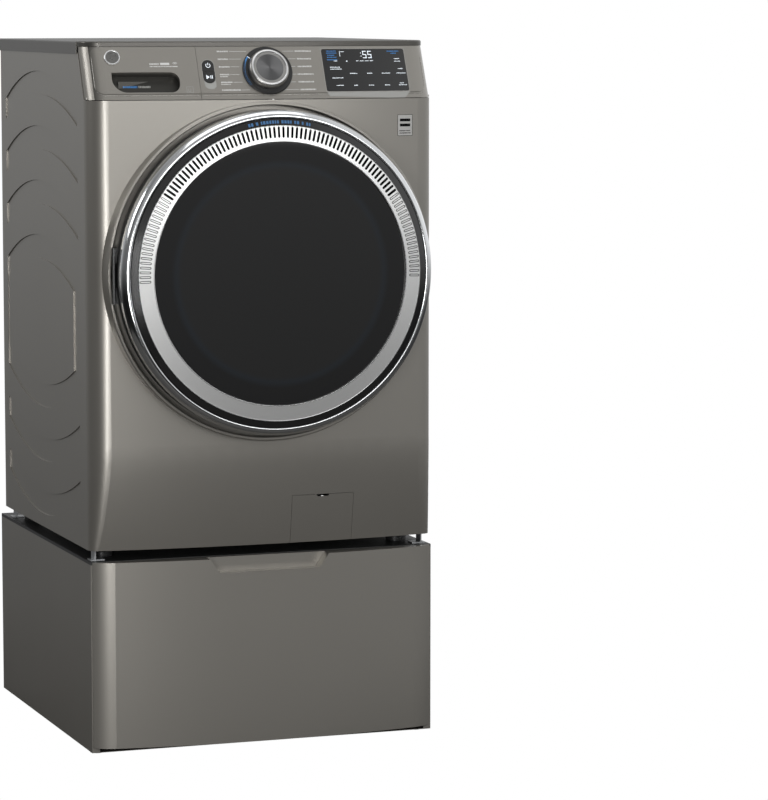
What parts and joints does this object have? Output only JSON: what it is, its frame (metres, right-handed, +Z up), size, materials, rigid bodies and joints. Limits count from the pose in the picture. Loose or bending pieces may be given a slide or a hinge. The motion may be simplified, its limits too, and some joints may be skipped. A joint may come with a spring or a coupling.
{
  "type": "front load washing machine",
  "caption": "Front load washing machine with bowed front, round glass door, sloping console with dial and dispenser drawer, standing on a storage drawer pedestal.",
  "frame": {"origin": "on the floor, under the middle of the bounding box", "axes": "+X to the right seen from the front, +Y from the front to the rear, +Z up; the door faces -Y"},
  "size_m": [0.715, 0.846, 1.4],
  "materials": {
    "body_paint": "satin",
    "lid_paint": "satin",
    "dark_steel": "matte",
    "zinc": "satin",
    "stainless": "brushed",
    "bright_metal": "brushed",
    "chrome": "polished",
    "black_gloss": "gloss",
    "black_plastic": "matte",
    "grey_plastic": "matte",
    "light_plastic": "matte",
    "dark_glass": "gloss",
    "clear_glass": "gloss",
    "gasket_rubber": "matte",
    "black_rubber": "matte",
    "iron": "cast",
    "alloy": "cast",
    "copper": "satin"
  },
  "bodies": {
    "cabinet": {"left_side_panel": "body_paint", "right_side_panel": "body_paint", "rear_panel": "zinc", "rear_access_cover": "zinc", "top_lid": "lid_paint", "front_panel": "body_paint", "console_fascia": "body_paint", "display_window": "dark_glass", "knob_base_ring": "black_plastic", "dispenser_housing": "light_plastic", "inlet_valve": "light_plastic", "fill_hose": "black_rubber", "drain_outlet": "black_plastic", "cord_gland": "black_plastic", "base_frame": "dark_steel", "levelling_feet": "black_plastic", "hold_down_brackets": "zinc", "door_hinge_plate": "zinc", "door_lock": "black_plastic", "door_gasket": "gasket_rubber", "damper_bodies": "black_plastic", "drain_pump_housing": "light_plastic", "pedestal_shell": "body_paint", "pedestal_top": "dark_steel", "door_surround": "body_paint", "rail_outer": "zinc", "cabinet_screws": "zinc"},
    "door": {"door_hinge_arm": "dark_steel", "door_chrome_ring": "chrome", "door_black_ring": "black_gloss", "vent_ring": "bright_metal", "door_glass_outer": "dark_glass", "door_inner_frame": "black_plastic", "door_glass_bowl": "clear_glass"},
    "latch": {"latch_hook": "zinc"},
    "dispenser": {"dispenser_front": "body_paint", "dispenser_tray": "light_plastic"},
    "cycle_knob": {"knob_ring": "chrome", "knob_cap": "bright_metal"},
    "power_key": {"power_button": "black_gloss"},
    "start_key": {"start_button": "black_gloss"},
    "pump_door": {"pump_cover": "body_paint"},
    "filter": {"pump_filter": "grey_plastic"},
    "impeller": {"pump_impeller": "grey_plastic"},
    "tub": {"tub_front": "light_plastic", "tub_rear": "light_plastic", "main_bearings": "zinc", "counterweights": "iron", "suspension_springs": "zinc", "damper_rods": "zinc", "motor_housing": "alloy", "drive_belt": "black_rubber"},
    "drum_set": {"drum": "stainless", "drum_baffles": "grey_plastic", "drum_spider": "alloy", "drum_pulley": "alloy"},
    "rotor": {"motor_rotor": "zinc"},
    "storage_drawer": {"drawer_front": "body_paint", "drawer_box": "grey_plastic"},
    "rails": {"rail_middle": "zinc"}
  },
  "joints": [
    {"name": "door_hinge", "type": "hinge", "parent": "cabinet", "child": "door", "pos_m": [-0.3225, -0.368, 0.951], "axis": [0, 0, -1], "range_deg": [0, 130]},
    {"name": "latch_hook_pivot", "type": "hinge", "parent": "door", "child": "latch", "pos_m": [0.291, -0.358, 0.951], "axis": [0, 0, 1], "range_deg": [0, 8], "stiffness_Nm_per_rad": 0.3, "springref_deg": -11.46},
    {"name": "dispenser_slide", "type": "slide", "parent": "cabinet", "child": "dispenser", "axis": [0, -1, 0], "range_m": [0, 0.2]},
    {"name": "cycle_knob_turn", "type": "hinge", "parent": "cabinet", "child": "cycle_knob", "pos_m": [0.005, -0.32064, 1.34198], "axis": [0.002, -0.9063, 0.4226], "continuous": true},
    {"name": "power_press", "type": "slide", "parent": "cabinet", "child": "power_key", "axis": [0.0459, 0.9054, -0.4222], "range_m": [0, 0.001], "stiffness_N_per_m": 400, "springref_m": -0.0008},
    {"name": "start_press", "type": "slide", "parent": "cabinet", "child": "start_key", "axis": [0.0459, 0.9054, -0.4222], "range_m": [0, 0.001], "stiffness_N_per_m": 400, "springref_m": -0.0008},
    {"name": "pump_cover_hinge", "type": "hinge", "parent": "cabinet", "child": "pump_door", "pos_m": [0.11375, -0.308, 0.412], "axis": [1, 0, 0], "range_deg": [0, 85]},
    {"name": "filter_turn", "type": "hinge", "parent": "cabinet", "child": "filter", "pos_m": [0.114, -0.31, 0.462], "axis": [0, -1, 0], "range_deg": [0, 90]},
    {"name": "impeller_spin", "type": "hinge", "parent": "cabinet", "child": "impeller", "pos_m": [0.114, -0.201, 0.462], "axis": [0, 1, 0], "continuous": true},
    {"name": "tub_bounce", "type": "slide", "parent": "cabinet", "child": "tub", "axis": [0, 0, 1], "range_m": [-0.012, 0.012], "stiffness_N_per_m": 24000, "springref_m": 0.02659, "deforming": ["suspension_springs", "door_gasket"]},
    {"name": "drum_spin", "type": "hinge", "parent": "tub", "child": "drum_set", "pos_m": [0, 0.01, 0.951], "axis": [0, 1, 0], "continuous": true},
    {"name": "motor_spin", "type": "hinge", "parent": "tub", "child": "rotor", "pos_m": [0.09, 0.135, 0.59], "axis": [0, 1, 0], "continuous": true},
    {"name": "storage_drawer_slide", "type": "slide", "parent": "cabinet", "child": "storage_drawer", "axis": [0, -1, 0], "range_m": [0, 0.45]},
    {"name": "rail_slide", "type": "slide", "parent": "cabinet", "child": "rails", "axis": [0, -1, 0], "range_m": [0, 0.225]}
  ],
  "couplings": [
    {"joint": "motor_spin", "follows": "drum_spin", "ratio": 13.636},
    {"joint": "rail_slide", "follows": "storage_drawer_slide", "ratio": 0.5}
  ]
}
